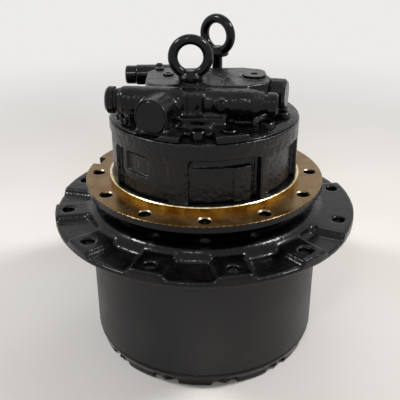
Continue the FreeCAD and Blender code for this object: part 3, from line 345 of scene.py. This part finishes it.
def remesh(piece, grid, softening):
    # gives the piece an even skin of small faces, smoothed as many times as softening says
    skin = piece.modifiers.new("skin", "REMESH")
    skin.mode = "VOXEL"
    skin.voxel_size = grid
    soften = piece.modifiers.new("soften", "SMOOTH")
    soften.factor = 0.5
    soften.iterations = softening
    bpy.context.view_layer.update()
    shaped = bpy.data.meshes.new_from_object(piece.evaluated_get(bpy.context.evaluated_depsgraph_get()))
    piece.modifiers.clear()
    piece.data = shaped


def shift(piece, distanceAt):
    # moves every point along its normal by what distanceAt says of its place
    places = [vertex.co.copy() for vertex in piece.data.vertices]
    normals = [vertex.normal.copy() for vertex in piece.data.vertices]
    moved = []
    for spot, normal in zip(places, normals):
        moved.extend(spot + normal * distanceAt(spot))
    piece.data.vertices.foreach_set("co", moved)
    piece.data.update()


firstSoftening = 2      # smoothing of the skins that come before the last


def castSkin(piece, look):
    # the sharp solid becomes a casting: a fine skin with filleted corners, uneven as a sand mould leaves it
    remesh(piece, look["grid"], firstSoftening)
    if look["fillet"]:
        shift(piece, lambda spot: look["fillet"])
        remesh(piece, look["grid"], firstSoftening)
        shift(piece, lambda spot: -look["fillet"])
    remesh(piece, look["grid"], look["softening"])

    def sink(spot):
        wave = noise.noise(spot * perMetre(look["waveMm"]))
        pit = noise.noise(spot * perMetre(look["pitMm"]))
        return -look["waveDepth"] * (0.5 + 0.5 * wave) - look["pitDepth"] * max(0.0, pit)

    shift(piece, sink)
    for polygon in piece.data.polygons:
        polygon.use_smooth = True
    return piece


def paint(piece, *materials):
    piece.data.materials.clear()
    for material in materials:
        piece.data.materials.append(material)


rearCover = {"grid": 0.0012, "softening": 4, "fillet": 0.0035,
             "waveMm": 16.0, "waveDepth": 0.0005, "pitMm": 3.5, "pitDepth": 0.0002}
spoolBore = {"centre": (-0.019, -0.0635, 0.131), "turn": -6.1, "radius": 0.0115, "half": 0.0785, "segments": 96}


def boreCutter(look):
    # the spool's running bore, reamed clean once the casting has its skin
    cage = bmesh.new()
    bmesh.ops.create_cone(cage, cap_ends=True, segments=look["segments"], radius1=look["radius"],
                          radius2=look["radius"], depth=2 * look["half"])
    along = Matrix.Rotation(math.radians(90), 4, "Y")
    turned = Matrix.Rotation(math.radians(look["turn"]), 4, "Z")
    bmesh.ops.transform(cage, matrix=Matrix.Translation(look["centre"]) @ turned @ along, verts=cage.verts)
    return cage


cover = castSkin(nodeCopy("rear_cover", "valveBlockCasting"), rearCover)
cutAway(cover, boreCutter(spoolBore))
paint(cover, castingPaint)
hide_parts("rear_cover")
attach(cover, "housing")
print("valve block casting:", len(cover.data.polygons), "faces")

motorCase = {
    "grid": 0.0014, "softening": 3, "fillet": 0.0,
    "waveMm": 18.0, "waveDepth": 0.0007, "pitMm": 4.0, "pitDepth": 0.0004,
    "lipTop": 0.0095, "radius": 0.140, "clear": 0.006,
    # cored fields between the ribs: first and last angle, bottom, top, depth
    "fields": [(-152, -111, 0.009, 0.070, 0.006), (-144, -125, 0.038, 0.066, 0.011),
               (-99, -73, 0.009, 0.072, 0.008), (-73, -62, 0.009, 0.072, 0.005),
               (-62, -57, 0.009, 0.072, 0.010), (-98, -60, 0.061, 0.073, 0.012),
               (-48, -17, 0.009, 0.070, 0.008)],
}
case = trimAt(nodeCopy("motor_housing", "motorCaseCasting"), motorCase["lipTop"], "above")
for start, end, low, high, depth in motorCase["fields"]:
    cage = bmesh.new()
    ringBlock(cage, motorCase["radius"] - depth, motorCase["radius"] + motorCase["clear"], low, high, start, end)
    cutAway(case, cage)
castSkin(case, motorCase)
paint(case, casePaint)
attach(case, "housing")
print("motor case casting:", len(case.data.polygons), "faces")

frameFlange = {
    "lipInner": 0.1395, "lipOuter": 0.1442, "lipEdge": 0.0088, "faceOuter": 0.1795, "lowest": -0.0018,
    "faceTop": 0.0001, "slope": (0.3, 0.95),      # a face whose normal's rise is between these is a chamfer
    "boltCircle": 0.162, "holeRadius": 0.00875, "chamfer": 0.0016, "chamferClear": 0.001,
    "holes": 12, "segments": 40,
}
spindle = trimAt(nodeCopy("motor_housing", "frameFlangeAndSpindle"), motorCase["lipTop"], "below")
cage = bmesh.new()
holeStep = 2 * math.pi / frameFlange["holes"]
for count in range(frameFlange["holes"]):
    # chamfer at the rim of each bolt hole
    spot = Matrix.Rotation(count * holeStep, 4, "Z") @ Matrix.Translation((frameFlange["boltCircle"], 0, 0))
    bmesh.ops.create_cone(cage, cap_ends=True, segments=frameFlange["segments"],
                          radius1=frameFlange["holeRadius"] - frameFlange["chamferClear"],
                          radius2=frameFlange["holeRadius"] + 2 * frameFlange["chamfer"] + frameFlange["chamferClear"],
                          depth=2 * (frameFlange["chamfer"] + frameFlange["chamferClear"]), matrix=spot)
cutAway(spindle, cage)
paint(spindle, fastenerPaint, flangeFace, lipMetal, chamferMetalPaintedHighlight, lipEdgePaintedHighlightMetal)
painted, faceBare, lipBare, chamferPaintedHighlight, edgePaintedHighlight = range(5)
for polygon in spindle.data.polygons:
    x, y, z = polygon.center
    radius = math.hypot(x, y)
    nearest = round(math.atan2(y, x) / holeStep) * holeStep
    offset = math.hypot(x - frameFlange["boltCircle"] * math.cos(nearest),
                        y - frameFlange["boltCircle"] * math.sin(nearest))
    sloping = frameFlange["slope"][0] < polygon.normal.z < frameFlange["slope"][1]
    polygon.use_smooth = False
    polygon.material_index = painted
    if z < frameFlange["lowest"] or radius < frameFlange["lipInner"]:
        continue
    if radius < frameFlange["lipOuter"] and z > frameFlange["faceTop"]:
        # the lip's top and its sloping chamfer take the painted highlight colour; the rest of the lip is oiled iron
        polygon.material_index = edgePaintedHighlight if z > frameFlange["lipEdge"] or sloping else lipBare
    # the bolt-hole chamfers take the lighter chamfer metal: bare cut metal with a painted highlight
    elif sloping and offset < frameFlange["holeRadius"] + 2 * frameFlange["chamfer"]:
        polygon.material_index = chamferPaintedHighlight
    elif radius < frameFlange["faceOuter"]:
        polygon.material_index = faceBare
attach(spindle, "housing")
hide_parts("motor_housing")
print("frame flange and spindle:", len(spindle.data.polygons), "faces")

hubFlange = {
    "grid": 0.0016, "softening": 5, "fillet": 0.005,
    "waveMm": 22.0, "waveDepth": 0.0004, "pitMm": 5.0, "pitDepth": 0.00015, "foot": -0.0655,
    # crest of the shoulder: its radius and height, the round on its inner side and the bends in degrees along it
    "crest": 0.172, "crestTop": -0.0345, "crestRound": 0.014, "bends": range(3, 67, 6), "clear": 0.003, "turns": 180,
}


def crestCutter(look):
    # what stands over the round on the inner side of the shoulder, as one closed ring
    centre, top, bow, turns = look["crest"], look["crestTop"], look["crestRound"], look["turns"]
    bends = [math.radians(bend) for bend in look["bends"]]
    profile = [(centre, top + look["clear"])]
    profile += [(centre - bow * math.sin(bend), top - bow * (1 - math.cos(bend))) for bend in bends]
    profile.append((profile[-1][0], top + look["clear"]))
    cage = bmesh.new()
    rings = []
    for turn in range(turns):
        angle = 2 * math.pi * (turn + 0.5) / turns
        rings.append([cage.verts.new((radius * math.cos(angle), radius * math.sin(angle), height))
                      for radius, height in profile])
    for turn, ring in enumerate(rings):
        other = rings[(turn + 1) % turns]
        for corner in range(len(profile)):
            after = (corner + 1) % len(profile)
            cage.faces.new((ring[corner], ring[after], other[after], other[corner]))
    return cage


flangeSolid = trimAt(nodeCopy("hub", "sprocketFlangeCasting"), hubFlange["foot"], "above")
cutAway(flangeSolid, crestCutter(hubFlange))
flange = castSkin(flangeSolid, hubFlange)
paint(flange, flangePaint)
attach(flange, "hub")
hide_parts("hub")
print("sprocket flange casting:", len(flange.data.polygons), "faces")

barrel = trimAt(nodeCopy("hub", "gearboxBarrel"), hubFlange["foot"], "below")
paint(barrel, barrelPaint)
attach(barrel, "hub")
print("gearbox barrel:", len(barrel.data.polygons), "faces")

coverCasting = {"grid": 0.0015, "softening": 3, "fillet": 0.0,
                "waveMm": 15.0, "waveDepth": 0.0003, "pitMm": 4.0, "pitDepth": 0.0002}
lid = castSkin(nodeCopy("end_cover", "endCoverCasting"), coverCasting)
paint(lid, castingPaint)
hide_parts("end_cover")
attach(lid, "hub")
print("end cover casting:", len(lid.data.polygons), "faces")


studio = {
    "near": ("#ddd8d1", "#edeae7"), "far": "#faf9f8", "floorSize": 14.0, "cloudMm": 700.0,
    "blendFrom": 0.45, "blendTo": 2.1,          # metres from the drive at which the floor turns into backdrop
    "ambient": 0.32, "seen": 0.88,
}
floorMesh = bpy.data.meshes.new("studioFloor")
half = studio["floorSize"] / 2
floorHeight = cadBox[0][2]
floorMesh.from_pydata([(-half, -half, floorHeight), (half, -half, floorHeight),
                       (half, half, floorHeight), (-half, half, floorHeight)], [], [(0, 1, 2, 3)])
floor = bpy.data.objects.new("studioFloor", floorMesh)
bpy.context.scene.collection.objects.link(floor)


def seenRay(tree):
    # one for what the camera, a gloss or a glass sees, nought for light that falls on things
    path = addNode(tree, "ShaderNodeLightPath")
    seen = addNode(tree, "ShaderNodeMath", {"operation": "MAXIMUM"},
                   {0: path.outputs["Is Camera Ray"], 1: path.outputs["Is Glossy Ray"]})
    return addNode(tree, "ShaderNodeMath", {"operation": "MAXIMUM"},
                   {0: seen.outputs[0], 1: path.outputs["Is Transmission Ray"]}).outputs[0]


floorPaint, tree, place = newMaterial("paleStudioFloor")
cloud = addNode(tree, "ShaderNodeTexNoise", {"Scale": perMetre(studio["cloudMm"]), "Detail": 2.0}, {"Vector": place})
tone = ramp(tree, cloud.outputs["Fac"],
            [(0.3, toLinear(studio["near"][0])), (0.7, toLinear(studio["near"][1]))])
away = addNode(tree, "ShaderNodeVectorMath", {"operation": "LENGTH"}, {0: place})
turned = addNode(tree, "ShaderNodeMapRange",
                 {"interpolation_type": "SMOOTHSTEP", "From Min": studio["blendFrom"], "From Max": studio["blendTo"]},
                 {"Value": away.outputs["Value"]})
share = addNode(tree, "ShaderNodeMath", {"operation": "MULTIPLY"}, {0: turned.outputs[0], 1: seenRay(tree)})
matt = addNode(tree, "ShaderNodeBsdfDiffuse", None, {"Color": tone})
paper = addNode(tree, "ShaderNodeEmission", {"Color": toLinear(studio["far"]), "Strength": studio["seen"]})
both = addNode(tree, "ShaderNodeMixShader", None, {0: share.outputs[0], 1: matt.outputs[0], 2: paper.outputs[0]})
finishMaterial(tree, both)
floorMesh.materials.append(floorPaint)

world = bpy.data.worlds.new("paleRoom")
bpy.context.scene.world = world
world.use_nodes = True
tree = world.node_tree
tree.nodes.clear()
level = addNode(tree, "ShaderNodeMapRange", {"To Min": studio["ambient"], "To Max": studio["seen"]},
                {"Value": seenRay(tree)})
backdrop = addNode(tree, "ShaderNodeBackground", {"Color": toLinear(studio["far"])},
                   {"Strength": level.outputs["Result"]})
addNode(tree, "ShaderNodeOutputWorld", None, {"Surface": backdrop.outputs[0]})

lampsFace = Vector((0, 0, 0.05))
lamps = [
    # two small panels at the sides put the glints into the gloss, and the other two fill
    {"name": "leftPanel", "at": (-1.25, -0.15, 1.35), "size": (0.32, 0.32), "watts": 17.0},
    {"name": "rightPanel", "at": (1.25, -0.15, 1.35), "size": (0.36, 0.36), "watts": 26.0},
    {"name": "frontPanel", "at": (-0.35, -1.6, 1.5), "size": (0.2, 0.2), "watts": 5.0},
    {"name": "backPanel", "at": (0.2, 1.3, 1.6), "size": (1.0, 0.5), "watts": 3.0},
]
for lamp in lamps:
    light = bpy.data.lights.new(lamp["name"], "AREA")
    light.shape = "RECTANGLE"
    light.size, light.size_y = lamp["size"]
    light.energy = lamp["watts"]
    holder = bpy.data.objects.new(lamp["name"], light)
    bpy.context.scene.collection.objects.link(holder)
    holder.location = lamp["at"]
    holder.rotation_euler = (lampsFace - Vector(lamp["at"])).to_track_quat("-Z", "Y").to_euler()

view = {"stands": (-0.00396, -0.9044, 0.39162), "forward": (-0.00262, 0.89915, -0.43764),
        "roll": -0.0038, "lens": 57.44, "film": 36.0}
camera = bpy.data.cameras.new("camera")
camera.lens = view["lens"]
camera.sensor_width = view["film"]
camera.clip_start = 0.05
camera.clip_end = 50.0
eye = bpy.data.objects.new("camera", camera)
bpy.context.scene.collection.objects.link(eye)
aimed = Vector(view["forward"]).to_track_quat("-Z", "Y").to_matrix().to_4x4()
eye.matrix_world = Matrix.Translation(view["stands"]) @ aimed @ Matrix.Rotation(view["roll"], 4, "Z")
bpy.context.scene.camera = eye
bpy.context.scene.view_settings.view_transform = "Standard"
print("camera and light set")
